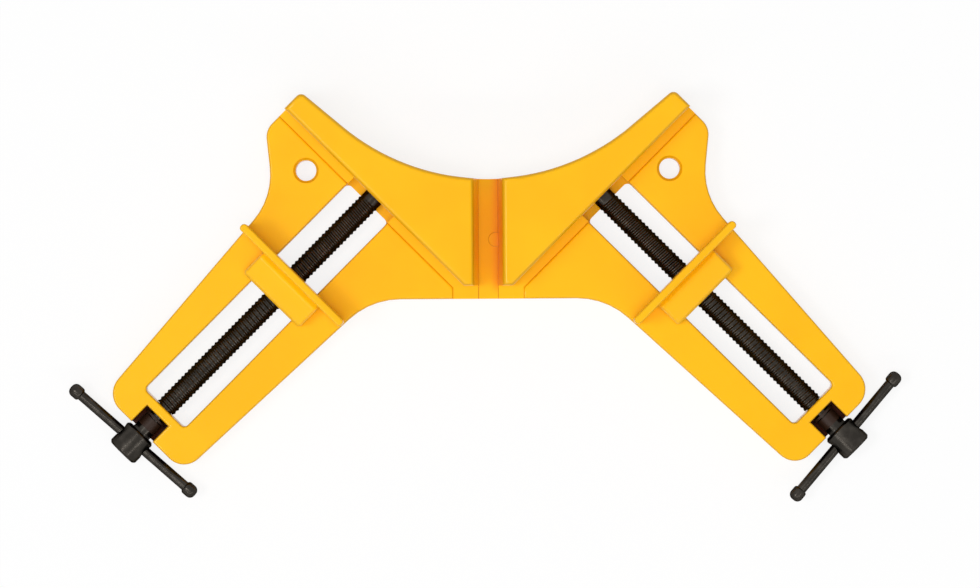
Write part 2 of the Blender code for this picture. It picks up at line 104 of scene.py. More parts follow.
def pick(piece, kind, wanted):  # kind is verts, edges or faces; selects those that wanted says yes to
    bpy.ops.mesh.select_mode(type={"verts": "VERT", "edges": "EDGE", "faces": "FACE"}[kind])
    bpy.ops.mesh.select_all(action="DESELECT")
    mesh = bmesh.from_edit_mesh(piece.data)
    mesh.normal_update()
    for part in getattr(mesh, kind):
        if wanted(part):
            part.select_set(True)
    bmesh.update_edit_mesh(piece.data)


def applyAll(piece):
    only(piece)
    for step in list(piece.modifiers):
        bpy.ops.object.modifier_apply(modifier=step.name)


def boolean(piece, tool, operation):
    step = piece.modifiers.new(operation.lower(), "BOOLEAN")
    step.operation = operation
    step.solver = "EXACT"
    step.object = tool
    applyAll(piece)
    bpy.data.objects.remove(tool, do_unlink=True)


def smooth(piece, angle):  # flat faces stay flat in the light, and the rounded rims between them blend
    only(piece)
    bpy.ops.object.shade_smooth_by_angle(angle=math.radians(angle))
    weigh = piece.modifiers.new("flats", "WEIGHTED_NORMAL")
    weigh.keep_sharp = True
    weigh.weight = 90
    applyAll(piece)


def layAlong(piece, start, direction):  # a piece turned along +Z goes to its place
    turn = Vector((0, 0, 1)).rotation_difference(direction).to_matrix().to_4x4()
    piece.matrix_world = Matrix.Translation(start) @ turn
    applyPlace(piece)


def copyPiece(piece, name):
    twin = piece.copy()
    twin.data = piece.data.copy()
    twin.name = name
    scene.collection.objects.link(twin)
    return twin


def cylinder(name, radius, length, vertices):  # stands on its start, along +Z
    bpy.ops.object.select_all(action="DESELECT")
    bpy.ops.mesh.primitive_cylinder_add(
        vertices=vertices, radius=radius * mm, depth=length * mm, location=(0, 0, length / 2 * mm)
    )
    piece = bpy.context.active_object
    piece.name = name
    applyPlace(piece)
    return piece


def block(name, low, high):  # box between two corners, in millimetres
    middle = [(a + b) / 2 * mm for a, b in zip(low, high)]
    size = [(b - a) * mm for a, b in zip(low, high)]
    bpy.ops.object.select_all(action="DESELECT")
    bpy.ops.mesh.primitive_cube_add(size=1, location=middle, scale=size)
    piece = bpy.context.active_object
    piece.name = name
    applyPlace(piece)
    return piece


def bevelPicked(piece, width, segments, wanted):
    startEdit(piece)
    pick(piece, "edges", wanted)
    bpy.ops.mesh.bevel(offset=width * mm, segments=segments, profile=0.5, affect="EDGES")
    endEdit()


def isUpright(edge):
    a, b = (v.co for v in edge.verts)
    return (a - b).to_2d().length < weldReach


def isSharp(edge, degrees=50):
    return len(edge.link_faces) == 2 and edge.calc_face_angle(0) > math.radians(degrees)


def roundRims(piece, width, segments):  # the rims between a turned piece's flat ends and its side
    bevelPicked(piece, width, segments, isSharp)


# Camera: straight above the clamp with a long lens, as the photograph has it

cameraPlan = {
    "frame": (980, 588),
    "pixelsPerMm": 3.18,
    "aimX": 0.47,
    "aimY": -14.95,
    "distance": 3000.0,
    "rollDegrees": -0.35,
    "sensorWidth": 36,
    "clip": (0.1, 20),
}


def makeCamera():
    viewWidth = cameraPlan["frame"][0] / cameraPlan["pixelsPerMm"]
    data = bpy.data.cameras.new("camera")
    data.sensor_width = cameraPlan["sensorWidth"]
    data.lens = data.sensor_width * (cameraPlan["distance"] - layout["plateTop"]) / viewWidth
    data.clip_start, data.clip_end = cameraPlan["clip"]
    camera = bpy.data.objects.new("camera", data)
    camera.location = Vector((cameraPlan["aimX"], cameraPlan["aimY"], cameraPlan["distance"])) * mm
    camera.rotation_euler.z = math.radians(cameraPlan["rollDegrees"])
    scene.collection.objects.link(camera)
    scene.camera = camera


makeCamera()
print("camera set")

# Materials


def hexToLinear(code):
    parts = [int(code[i:i + 2], 16) / 255 for i in (1, 3, 5)]
    return tuple(c / 12.92 if c <= 0.04045 else ((c + 0.055) / 1.055) ** 2.4 for c in parts) + (1.0,)


def addNode(tree, kind, values=None, links=None, **settings):
    made = tree.nodes.new(kind)
    for key, value in settings.items():
        setattr(made, key, value)
    for socket, value in (values or {}).items():
        made.inputs[socket].default_value = value
    for socket, source in (links or {}).items():
        tree.links.new(source, made.inputs[socket])
    return made


def newMaterial(name, look, metallic, **sockets):
    made = bpy.data.materials.new(name)
    made.use_nodes = True
    tree = made.node_tree
    shader = tree.nodes["Principled BSDF"]
    shader.inputs["Base Color"].default_value = hexToLinear(look["colour"])
    shader.inputs["Metallic"].default_value = metallic
    for socket, value in sockets.items():
        shader.inputs[socket.replace("_", " ")].default_value = value
    place = addNode(tree, "ShaderNodeTexCoord").outputs["Object"]
    return made, tree, shader, place


def surfaceDetail(tree, shader, look, glossPattern, reliefPattern):
    # one pattern moves the roughness between its two ends, and one stands out from the surface
    low, high = look["roughness"]
    gloss = addNode(tree, "ShaderNodeMapRange", {"To Min": low, "To Max": high},
                    {"Value": glossPattern.outputs["Fac"]})
    tree.links.new(gloss.outputs["Result"], shader.inputs["Roughness"])
    relief = addNode(tree, "ShaderNodeBump", {"Strength": 1.0, "Distance": look["reliefMm"] * mm},
                     {"Height": reliefPattern.outputs["Fac"]})
    tree.links.new(relief.outputs["Normal"], shader.inputs["Normal"])


def toneDetail(tree, look, pattern):  # the pattern shifts the colour between two near tones
    tones = addNode(tree, "ShaderNodeValToRGB", links={"Fac": pattern.outputs["Fac"]})
    for stop, position, tone in zip(tones.color_ramp.elements, look["toneStops"], look["tones"]):
        stop.position = position
        stop.color = hexToLinear(tone)
    return tones.outputs["Color"]


# Satin enamel, sprayed and baked on an aluminium die casting: an even strong yellow with a broad soft
# gloss, a faint orange peel where the wet film levelled, and hardly any change of tone. The rounded
# rims carry painted shade, a darker colour where the surface leans, and the saw groove carries painted
# shade that deepens to orange towards its right wall.
enamelLook = {
    "colour": "#ffc00b",
    "tones": ("#feba08", "#ffc00b"),
    "toneStops": (0.35, 0.6),
    "toneMm": 26,
    # painted rim shade: a darker colour for the rounded rims of each part
    "paintedRimShadeColours": {"casting": "#e4a80a", "jaw": "#f0b41a", "groove": "#dd9a22"},
    "paintedRimShadeSlopes": {0.1: 0.0, 0.2: 1.0, 0.8: 1.0, 0.97: 0.0},  # share of rim colour by the normal's z
    # painted shade in the saw groove: a deeper orange towards its right wall
    "paintedGrooveShadeColour": "#f4960a",
    "paintedGrooveShadeReach": {"X": (0.0, 3.3), "Y": (-16.0, -11.0)},  # rises from none to full between two places
    "roughness": (0.19, 0.27),
    "cloudMm": 6.25,
    "peelMm": 1.6,  # real orange peel is about 0.8 mm, drawn coarser so that it shows
    "reliefMm": 0.003,
}


def makeEnamel(name, part):
    look = enamelLook
    made, tree, shader, place = newMaterial(name, look, 0.0, Specular_IOR_Level=0.24)
    tone = addNode(tree, "ShaderNodeTexNoise", {"Scale": 1000 / look["toneMm"], "Detail": 3.0},
                   {"Vector": place})
    colour = toneDetail(tree, look, tone)
    # painted shade in the saw groove, rising towards its right wall and fading out towards its front end
    if part == "groove":
        where = addNode(tree, "ShaderNodeSeparateXYZ", links={0: place}).outputs
        reach = [
            addNode(tree, "ShaderNodeMapRange", {"From Min": low * mm, "From Max": high * mm},
                    {"Value": where[axis]}, interpolation_type="SMOOTHSTEP").outputs["Result"]
            for axis, (low, high) in look["paintedGrooveShadeReach"].items()
        ]
        grooveShadeShare = addNode(tree, "ShaderNodeMath", links=dict(enumerate(reach)), operation="MULTIPLY")
        colour = addNode(tree, "ShaderNodeMixRGB", {"Color2": hexToLinear(look["paintedGrooveShadeColour"])},
                         {"Fac": grooveShadeShare.outputs[0], "Color1": colour}).outputs[0]
    # painted shade on the rims: the colour turns darker where the normal leans away from upright
    normal = addNode(tree, "ShaderNodeNewGeometry").outputs["Normal"]
    slope = addNode(tree, "ShaderNodeSeparateXYZ", links={0: normal})
    rims = addNode(tree, "ShaderNodeValToRGB", links={"Fac": slope.outputs["Z"]})
    stops = rims.color_ramp.elements
    stops[1].color = (0, 0, 0, 1)  # the two stops that come with the ramp, at 0 and 1
    for steepness, share in look["paintedRimShadeSlopes"].items():
        stops.new(steepness).color = (share, share, share, 1)
    colour = addNode(tree, "ShaderNodeMixRGB", {"Color2": hexToLinear(look["paintedRimShadeColours"][part])},
                     {"Fac": rims.outputs["Color"], "Color1": colour}).outputs[0]
    tree.links.new(colour, shader.inputs["Base Color"])
    cloud = addNode(tree, "ShaderNodeTexNoise", {"Scale": 1000 / look["cloudMm"], "Detail": 2.0},
                    {"Vector": place})
    peel = addNode(tree, "ShaderNodeTexNoise", {"Scale": 1000 / look["peelMm"], "Detail": 1.0},
                   {"Vector": place})
    surfaceDetail(tree, shader, look, cloud, peel)
    return made


# Black oxide on turned steel: a thin, nearly black conversion layer with a satin sheen from the oil
# that it holds, a little browner where it has worn, over the fine unevenness that the cutter left.
oxideLook = {
    "colour": "#34312d",
    "tones": ("#34312d", "#47433e"),  # the film, and where handling has worn it
    "toneStops": (0.42, 0.78),
    "toneMm": 3.0,
    "edgeTint": (0.35, 0.35, 0.35, 1),
    "roughness": (0.2, 0.3),
    "grainMm": 0.5,  # the real feed marks are about 0.1 mm apart, drawn coarser so that they show
    "reliefMm": 0.007,
}


def makeOxide():
    look = oxideLook
    made, tree, shader, place = newMaterial("blackOxideSteel", look, 1.0, Specular_Tint=look["edgeTint"])
    tone = addNode(tree, "ShaderNodeTexNoise", {"Scale": 1000 / look["toneMm"], "Detail": 4.0},
                   {"Vector": place})
    tree.links.new(toneDetail(tree, look, tone), shader.inputs["Base Color"])
    grain = addNode(tree, "ShaderNodeTexNoise", {"Scale": 1000 / look["grainMm"], "Detail": 2.0},
                    {"Vector": place})
    surfaceDetail(tree, shader, look, tone, grain)
    return made


# Zinc plate with a clear passivation on pressed steel: pale bluish grey, slightly cloudy, half gloss.
zincLook = {
    "colour": "#c9ccd1",
    "tones": ("#aeb3ba", "#c9ccd1"),
    "toneStops": (0.0, 1.0),
    "cloudMm": 4.0,
    "roughness": (0.26, 0.42),
    "reliefMm": 0.004,
}


def makeZinc():
    look = zincLook
    made, tree, shader, place = newMaterial("clearZincPlate", look, 1.0)
    cloud = addNode(tree, "ShaderNodeTexNoise", {"Scale": 1000 / look["cloudMm"], "Detail": 4.0},
                    {"Vector": place})
    tree.links.new(toneDetail(tree, look, cloud), shader.inputs["Base Color"])
    surfaceDetail(tree, shader, look, cloud, cloud)
    return made


# Bright turned steel: plain grey metal, as glossy as the black parts, whose gloss is broken by close
# tool marks.
brightLook = {
    "colour": "#b9b8b6",
    "roughness": (0.2, 0.34),
    "markMm": 0.35,  # the real ones are about 0.1 mm apart, drawn coarser so that they show
    "reliefMm": 0.004,
}


def makeBright():
    look = brightLook
    made, tree, shader, place = newMaterial("brightTurnedSteel", look, 1.0)
    marks = addNode(tree, "ShaderNodeTexNoise", {"Scale": 1000 / look["markMm"], "Detail": 3.0},
                    {"Vector": place})
    surfaceDetail(tree, shader, look, marks, marks)
    return made


# Painted shade in the bearing pockets, where shade falls: red brown on the pocket's walls, a nearly
# black brown on the steel neck and the washers, glossier and rougher in patches at random.
paintedPocketShadeLooks = {
    "wall": {"colour": "#471b08", "roughness": (0.34, 0.6), "mottleMm": 1.8, "reliefMm": 0.05},
    "neck": {"colour": "#2a190f", "roughness": (0.34, 0.6), "mottleMm": 1.8, "reliefMm": 0.05},
}


def makePaintedPocketShade(name, part):
    look = paintedPocketShadeLooks[part]
    made, tree, shader, place = newMaterial(name, look, 0.0, Specular_IOR_Level=0.25)
    mottle = addNode(tree, "ShaderNodeTexNoise", {"Scale": 1000 / look["mottleMm"], "Detail": 3.0},
                    {"Vector": place})
    surfaceDetail(tree, shader, look, mottle, mottle)
    return made


castingEnamel = makeEnamel("bakedEnamelOnCasting", "casting")
# the groove's enamel carries painted shade towards its right wall
grooveEnamel = makeEnamel("enamelWithPaintedGrooveShade", "groove")
jawEnamel = makeEnamel("bakedEnamelOnJaws", "jaw")
oxide = makeOxide()
zinc = makeZinc()
bright = makeBright()
pocketWallPaintedShade = makePaintedPocketShade("paintedShadeOnPocketWalls", "wall")
steelInPocketPaintedShade = makePaintedPocketShade("paintedShadeOnSteelInPocket", "neck")
print("materials made")


def dress(piece, material, body, slot, *nodes):
    # a piece's finish, the body that carries it, and the nodes that it stands for
    piece.data.materials.clear()
    piece.data.materials.append(material)
    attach(piece, body)
    if nodes:
        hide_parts(*nodes)


# Lead screws: one left-hand thread, wound from a single tooth and closed at both ends. The plain tip
# runs in the fence block and the plain journal in the arm's end wall. They are turned along +Z.

screwPlan = {
    "pitch": 1.5,
    "crestRadius": 3.44,
    "rootRadius": 3.12,
    "crestWidth": 0.34,
    "rootWidth": 0.3,
    "crestRound": 0.1,
    "spareTurns": 3,
    "stepsPerTurn": 32,
    "threadStart": 2.4,
    "threadEnd": 93.4,
    "tipRadius": 3.25,
    "journalRadius": 2.5,
    "tipU": -5.0,
    "journalEndU": 105.4,
    "endRound": 0.4,
}


def toothOutline():  # the corners of one tooth over one pitch, with x as the radius
    plan = screwPlan
    pitch, crest, root = plan["pitch"], plan["crestRadius"], plan["rootRadius"]
    flank = (pitch - plan["crestWidth"] - plan["rootWidth"]) / 2
    soft = plan["crestRound"]
    rising = [(0, root), (plan["rootWidth"], root), (plan["rootWidth"] + flank * 0.8, crest - soft),
              (plan["rootWidth"] + flank + soft / 2, crest)]
    falling = [(pitch - flank - soft / 2, crest), (pitch - flank * 0.8, crest - soft), (pitch, root)]
    return [Vector((radius, 0, height)) * mm for height, radius in rising + falling]


def windThread():
    plan = screwPlan
    pitch, length = plan["pitch"], plan["threadEnd"] - plan["threadStart"]
    corners = toothOutline()
    bpy.ops.object.select_all(action="DESELECT")
    bpy.ops.mesh.primitive_plane_add(size=pitch * mm, location=corners[0])
    thread = bpy.context.active_object
    thread.name = "thread"
    applyPlace(thread)
    startEdit(thread)
    pick(thread, "verts", lambda v: True)
    bpy.ops.mesh.merge(type="CENTER")
    for corner, following in zip(corners, corners[1:]):
        bpy.ops.mesh.extrude_vertices_move(TRANSFORM_OT_translate={"value": following - corner})
    endEdit()
    wind = thread.modifiers.new("wind", "SCREW")
    wind.axis = "Z"
    wind.angle = -2 * math.pi  # left-hand
    wind.screw_offset = pitch * mm
    wind.iterations = math.ceil(length / pitch) + plan["spareTurns"]
    wind.steps = plan["stepsPerTurn"]
    wind.render_steps = plan["stepsPerTurn"]
    wind.use_merge_vertices = True
    wind.merge_threshold = weldReach
    applyAll(thread)
    startEdit(thread)
    bpy.ops.mesh.select_all(action="SELECT")
    bpy.ops.mesh.remove_doubles(threshold=weldReach)
    low = 1.6 * pitch  # the first turn is thrown away, so that the thread starts with a full tooth
    for height, inner in ((low, True), (low + length, False)):
        bpy.ops.mesh.select_all(action="SELECT")
        bpy.ops.mesh.bisect(plane_co=(0, 0, height * mm), plane_no=(0, 0, 1), use_fill=True,
                            clear_inner=inner, clear_outer=not inner)
    bpy.ops.mesh.select_all(action="SELECT")
    bpy.ops.mesh.normals_make_consistent(inside=False)
    endEdit()
    thread.location.z = (plan["threadStart"] - low) * mm
    applyPlace(thread)
    return thread


def makeLeadScrew():
    plan = screwPlan
    thread = windThread()
    tip = cylinder("tip", plan["tipRadius"], plan["threadStart"] - plan["tipU"] + 0.4, 64)
    tip.location.z = plan["tipU"] * mm
    journalStart = plan["threadEnd"] - 1.0
    journal = cylinder("journal", plan["journalRadius"], plan["journalEndU"] - journalStart, 48)
    journal.location.z = journalStart * mm
    for plain in (tip, journal):
        roundRims(plain, plan["endRound"], 2)
        applyPlace(plain)
        boolean(thread, plain, "UNION")
    return thread


def isTipFace(face):
    return face.center.z < (screwPlan["threadStart"] - 0.02) * mm


screwShape = makeLeadScrew()
for face in screwShape.data.polygons:
    face.material_index = 1 if isTipFace(face) else 0
for side in sideWay:
    screw = copyPiece(screwShape, side + "LeadScrew")
    layAlong(screw, armPoint(side, 0, layout["slotV"], layout["screwZ"]), armOut(side))
    smooth(screw, 32)
    dress(screw, oxide, side + "_spindle", "black_steel", side + "_lead_screw")
    screw.data.materials.append(bright)
bpy.data.objects.remove(screwShape, do_unlink=True)
print("lead screws wound")

# Base casting: the frame's own casting, whose level faces get the rounded rims that paint leaves on a
# casting's edges, and whose bearing pockets get painted shade

castingPlan = {
    "rimRound": {"plateTop": 0.72, "fenceTop": 1.4},
    "rimSteps": 7,
    "levelReach": 0.06,  # how far off a level its points may lie in the bare solid
    "cornerReach": 0.05,  # and off the pocket's walls
    "weld": 0.1,
    "grooveTopHalf": 4.2,
    "grooveMouthHalf": 4.5,
    "pocketStart": 97.3,
    "pocketHalf": 4.3,
    "pocketWiden": 0.35,
    "pocketDeepen": 0.5,
    "benchHole": (9.15, 71.7),
    "benchHoleRadius": 3.25,
    "countersink": 0.8,
    "countersinkSpare": 0.1,
    "kerfHalf": 2.95,
    "kerfFloor": 11.9,
    "kerfTop": 12.3,
    "kerfSpread": 1.13,
    "kerfEnds": (-60, 40),
    "padPlace": (2.3, 2.2),
    "padRadius": 2.3,
    "padTop": 12.5,
    "padRound": 0.25,
}


def armPlace(co):  # u and v in millimetres of a point on either arm
    out, along = abs(co.x) / mm, co.y / mm - layout["apexY"]
    return (out - along) / math.sqrt(2), (out + along) / math.sqrt(2)


def inPocket(co, margin=0.0):  # says yes to places in and on the walls of the pocket at an arm's end
    u, v = armPlace(co)
    reach = margin + castingPlan["cornerReach"]
    beside = abs(v - layout["slotV"]) < castingPlan["pocketHalf"] + reach
    return beside and u > castingPlan["pocketStart"] - reach and 2.0 < co.z / mm < layout["plateTop"] + 0.1


def widenPocket(casting, side):  # the pocket is a little wider and deeper than the bare solid has it
    way, plan = sideWay[side], castingPlan

    def onWall(vert, across):
        offset = (armPlace(vert.co)[1] - layout["slotV"]) * across - plan["pocketHalf"]
        return vert.co.x * way > 0 and inPocket(vert.co) and abs(offset) < plan["cornerReach"]

    def atEnd(vert):
        behind = armPlace(vert.co)[0] < plan["pocketStart"] + plan["cornerReach"]
        return vert.co.x * way > 0 and inPocket(vert.co, plan["pocketWiden"]) and behind

    for across in (-1, 1):
        pick(casting, "verts", lambda v: onWall(v, across))
        bpy.ops.transform.translate(value=armAlong(side) * across * plan["pocketWiden"] * mm)
    pick(casting, "verts", atEnd)
    bpy.ops.transform.translate(value=-armOut(side) * plan["pocketDeepen"] * mm)


def roundLevel(casting, height, radius):
    # the level face sinks by the rim's height and rises again in ever wider and flatter steps
    steps = castingPlan["rimSteps"]
    pick(casting, "faces", lambda f: f.normal.z > 0.99
         and abs(f.calc_center_median().z / mm - height) < 0.01)
    bpy.ops.transform.translate(value=(0, 0, -radius * mm))
    turns = [math.pi / 2 * i / steps for i in range(steps + 1)]
    for low, high in zip(turns, turns[1:]):
        inward = radius * (math.cos(low) - math.cos(high))
        upward = radius * (math.sin(high) - math.sin(low))
        bpy.ops.mesh.inset(thickness=inward * mm, depth=upward * mm)


def sinkBenchHole(casting, side):  # a short countersink breaks the edge of the bench-screw hole
    plan = castingPlan
    spare = plan["countersinkSpare"]
    below = plan["benchHoleRadius"] - spare
    above = plan["benchHoleRadius"] + plan["countersink"] + spare
    depth = above - below
    bpy.ops.object.select_all(action="DESELECT")
    bpy.ops.mesh.primitive_cone_add(vertices=40, radius1=below * mm, radius2=above * mm, depth=depth * mm)
    cone = bpy.context.active_object
    cone.location = armPoint(side, *plan["benchHole"], layout["plateTop"] + spare - depth / 2)
    boolean(casting, cone, "DIFFERENCE")


def makeCasting():
    plan = castingPlan
    casting = copyPiece(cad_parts["base_casting"], "baseCasting")
    casting.parent = None
    only(casting)
    bpy.ops.mesh.customdata_custom_splitnormals_clear()
    startEdit(casting)
    bpy.ops.mesh.select_all(action="SELECT")
    bpy.ops.mesh.remove_doubles(threshold=weldReach)
    for way in (-1, 1):  # the saw groove's mouth gets one straight edge and opens a little more
        pick(casting, "verts", lambda v: v.co.z > (layout["fenceTop"] - plan["levelReach"]) * mm
             and abs(v.co.x * way / mm - plan["grooveTopHalf"]) < 0.6)
        mouth = (way * plan["grooveMouthHalf"] * mm, 0, 0)
        bpy.ops.transform.resize(value=(0, 1, 1), center_override=mouth)
    for level in plan["rimRound"]:
        height = layout[level]
        pick(casting, "verts", lambda v: abs(v.co.z / mm - height) < plan["levelReach"])
        bpy.ops.transform.resize(value=(1, 1, 0), center_override=(0, 0, height * mm))
        bpy.ops.mesh.remove_doubles(threshold=plan["weld"] * mm)
    bpy.ops.mesh.select_all(action="SELECT")
    bpy.ops.mesh.dissolve_limited(angle_limit=math.radians(1))
    for side in sideWay:
        widenPocket(casting, side)
    for level, radius in plan["rimRound"].items():
        roundLevel(casting, layout[level], radius)
    endEdit()
    half = plan["kerfHalf"]
    near, far = plan["kerfEnds"]
    kerf = block("kerf", (-half, near, plan["kerfFloor"]), (half, far, plan["kerfTop"]))
    startEdit(kerf)
    pick(kerf, "faces", lambda f: f.normal.z > 0.9)
    bpy.ops.transform.resize(value=(plan["kerfSpread"], 1, 1), center_override=(0, 0, 0))
    endEdit()
    boolean(casting, kerf, "DIFFERENCE")
    pad = cylinder("ejectorPad", plan["padRadius"], plan["padTop"] - plan["kerfFloor"] + 0.5, 40)
    roundRims(pad, plan["padRound"], 3)
    pad.location = Vector((*plan["padPlace"], plan["kerfFloor"] - 0.5)) * mm
    boolean(casting, pad, "UNION")
    for side in sideWay:
        sinkBenchHole(casting, side)
    smooth(casting, 34)
    return casting


def isPocketFace(face):
    below = face.center.z / mm < layout["plateTop"] - 0.5
    return below and inPocket(face.center, castingPlan["pocketDeepen"])


def isGrooveFace(face):
    low = castingPlan["kerfFloor"] - 0.1
    high = layout["fenceTop"] - castingPlan["rimRound"]["fenceTop"]
    return low < face.center.z / mm < high and abs(face.center.x) / mm < castingPlan["grooveMouthHalf"]


casting = makeCasting()
dress(casting, castingEnamel, "base", "yellow_paint", "base_casting")
# the bearing pockets' walls get painted shade in red brown, and the groove's enamel gets painted shade
# towards its right wall
casting.data.materials.append(pocketWallPaintedShade)
casting.data.materials.append(grooveEnamel)
for face in casting.data.polygons:
    face.material_index = 1 if isPocketFace(face) else 2 if isGrooveFace(face) else 0
print("casting ready")

# Sliding jaws: a thin upright wall, a sloping block behind it and a tongue that runs in the slot

jawPlan = {
    "faceU": 34.2,
    "wall": 2.5,
    "innerV": 29.5,
    "outerV": 73.6,
    "floorZ": 13.3,
    "wallEndRound": 1.1,
    "wallRound": 0.6,
    "backU": 45.8,
    "blockWidth": 24.6,
    "blockFrontZ": 26.0,
    "blockBackZ": 22.8,
    "blockRound": 1.1,
    "blockInset": 1.0,  # how far the block reaches into the wall
    "shoulderU": 37.9,
    "shoulderDrop": 1.1,
    "tongueWidth": 16.9,
    "tongueZ": 3.0,
    "tongueRound": 0.8,
    "boreRadius": 3.6,
    "pilotRadius": 1.45,
    "pilotOffset": 6.2,
    "pilotTop": 12.8,
}


def makeJawBlock():
    plan = jawPlan
    face, back, middle = plan["faceU"], plan["backU"], layout["slotV"]
    half, wallBack = plan["blockWidth"] / 2, face + plan["wall"]
    body = block("jawBody", (face + plan["blockInset"], middle - half, plan["floorZ"]),
                 (back, middle + half, plan["blockFrontZ"]))
    startEdit(body)
    pick(body, "verts", lambda v: v.co.x / mm > back - 0.1 and v.co.z / mm > plan["blockFrontZ"] - 0.1)
    bpy.ops.transform.translate(value=(0, 0, (plan["blockBackZ"] - plan["blockFrontZ"]) * mm))
    for u in (plan["shoulderU"], wallBack + 0.1):  # two cuts for the valley beside the wall
        bpy.ops.mesh.select_all(action="SELECT")
        bpy.ops.mesh.bisect(plane_co=(u * mm, 0, 0), plane_no=(1, 0, 0))
    pick(body, "verts", lambda v: v.co.x / mm < wallBack + 0.2 and v.co.z / mm > plan["blockBackZ"] + 1)
    bpy.ops.transform.translate(value=(0, 0, -plan["shoulderDrop"] * mm))
    endEdit()

    def isOuterEdge(edge):  # all but the foot and the end inside the wall
        out = [v.co.x / mm - face for v in edge.verts]
        top = max(v.co.z / mm for v in edge.verts)
        return isSharp(edge, 40) and min(out) > 0.9 and max(out) > 2 and top > plan["floorZ"] + 1

    bevelPicked(body, plan["blockRound"], 4, isOuterEdge)
    return body


def makeJaw():
    plan = jawPlan
    face, back, middle = plan["faceU"], plan["backU"], layout["slotV"]
    wallBack = face + plan["wall"]
    wall = block("jawWall", (face, plan["innerV"], plan["floorZ"]),
                 (wallBack, plan["outerV"], layout["fenceTop"]))
    bevelPicked(wall, plan["wallEndRound"], 5, isUpright)
    bevelPicked(wall, plan["wallRound"], 3, isSharp)
    body = makeJawBlock()
    half = plan["tongueWidth"] / 2
    tongue = block("jawTongue", (wallBack + 0.2, middle - half, plan["tongueZ"]),
                   (back - 0.2, middle + half, plan["floorZ"] + 2))
    bevelPicked(tongue, plan["tongueRound"], 3, isUpright)
    boolean(wall, body, "UNION")
    boolean(wall, tongue, "UNION")
    bore = cylinder("bore", plan["boreRadius"], 24, 48)
    layAlong(bore, Vector((face - 6, middle, layout["screwZ"])) * mm, Vector((1, 0, 0)))
    boolean(wall, bore, "DIFFERENCE")
    for way in (-1, 1):
        pilot = cylinder("pilot", plan["pilotRadius"], plan["pilotTop"] - 1, 24)
        pilot.location = Vector(((wallBack + back) / 2, middle + way * plan["pilotOffset"], 1)) * mm
        boolean(wall, pilot, "DIFFERENCE")
    return wall


jawShape = makeJaw()
for side in sideWay:
    jaw = copyPiece(jawShape, side + "Jaw")
    placeOnArm(jaw, side)
    smooth(jaw, 32)
    dress(jaw, jawEnamel, side + "_slider", "yellow_paint", side + "_jaw")
bpy.data.objects.remove(jawShape, do_unlink=True)
print("jaws made")

# Screw heads: a turned drum with a neck that runs in the arm's pocket, cross-drilled for the bar

headPlan = {
    "hubStart": 98.6,
    "headStart": 104.4,
    "headLength": 8.8,
    "headRadius": 5.3,
    "chamfer": 0.7,
    "hubRadius": 3.3,
    "boreRadius": 2.65,
    "boreEnd": 105.7,
    "barU": 108.0,
    "barHoleRadius": 2.0,
    "mouthRadius": 2.7,
    "mouthDepth": 1.2,
    # where the painted shade on the neck ends
    "neckShadeEnd": 102.3,
    "neckRound": 0.18,
}


def makeHead():  # turned along +Z, with z = u
    plan = headPlan
    head = cylinder("head", plan["headRadius"], plan["headLength"], 72)
    roundRims(head, plan["chamfer"], 1)
    head.location.z = plan["headStart"] * mm
    applyPlace(head)
    startEdit(head)
    pick(head, "faces", lambda f: f.normal.z < -0.99)
    bpy.ops.mesh.inset(thickness=(plan["headRadius"] - plan["chamfer"] - plan["hubRadius"]) * mm)
    toHubStart = (0, 0, (plan["hubStart"] - plan["headStart"]) * mm)
    bpy.ops.mesh.extrude_region_move(TRANSFORM_OT_translate={"value": toHubStart})
    bpy.ops.mesh.select_all(action="SELECT")
    bpy.ops.mesh.bisect(plane_co=(0, 0, plan["neckShadeEnd"] * mm), plane_no=(0, 0, 1))
    endEdit()
    bevelPicked(head, plan["neckRound"], 3, lambda e: isSharp(e, 30) and e.calc_face_angle_signed(0) > 0)
    bore = cylinder("bore", plan["boreRadius"], plan["boreEnd"] - plan["hubStart"] + 1, 48)
    bore.location.z = (plan["hubStart"] - 1) * mm
    boolean(head, bore, "DIFFERENCE")
    boolean(head, makeCrossHole(), "DIFFERENCE")
    return head


def makeCrossHole():  # what the drill takes out for the bar, opening towards both mouths
    plan = headPlan
    length = 2 * (plan["headRadius"] - plan["mouthDepth"] / 2)
    hole = cylinder("crossHole", plan["barHoleRadius"], length, 48)
    widen = plan["mouthRadius"] / plan["barHoleRadius"]
    startEdit(hole)
    for way in (-1, 1):
        pick(hole, "faces", lambda f: f.normal.z * way > 0.99)
        outwards = (0, 0, plan["mouthDepth"] * way * mm)
        bpy.ops.mesh.extrude_region_move(TRANSFORM_OT_translate={"value": outwards})
        bpy.ops.transform.resize(value=(widen, widen, 1))
    endEdit()
    layAlong(hole, Vector((0, length / 2, plan["barU"])) * mm, Vector((0, -1, 0)))
    return hole


def turnToFace(piece, side):  # +Z goes along the arm and +Y along the fence
    out, along = armOut(side), armAlong(side)
    turn = Matrix((along.cross(out), along, out)).transposed().to_4x4()
    piece.matrix_world = Matrix.Translation(armPoint(side, 0, layout["slotV"], layout["screwZ"])) @ turn
    applyPlace(piece)


headShape = makeHead()
for side in sideWay:
    head = copyPiece(headShape, side + "ScrewHead")
    turnToFace(head, side)
    smooth(head, 30)
    dress(head, oxide, side + "_spindle", "black_steel", side + "_screw_head")
    # the neck inside the pocket gets painted shade, a nearly black brown, up to the end set in the head's
    # plan
    head.data.materials.append(steelInPocketPaintedShade)
    for face in head.data.polygons:
        face.material_index = 1 if armPlace(face.center)[0] < headPlan["neckShadeEnd"] else 0
bpy.data.objects.remove(headShape, do_unlink=True)

# Cross bars: plain rods that lean a little in their loose holes, with a barrel-shaped cap swaged on
# each end

barPlan = {
    "radius": 1.58,
    "length": 50.4,
    "endRound": 0.3,
    "capRadius": 2.2,
    "capLength": 4.3,
    "capSpacing": 47.5,
    "capRound": 1.8,
    "capLip": 0.9,
    "leanDegrees": {"left": 3.5, "right": 4.7},
}


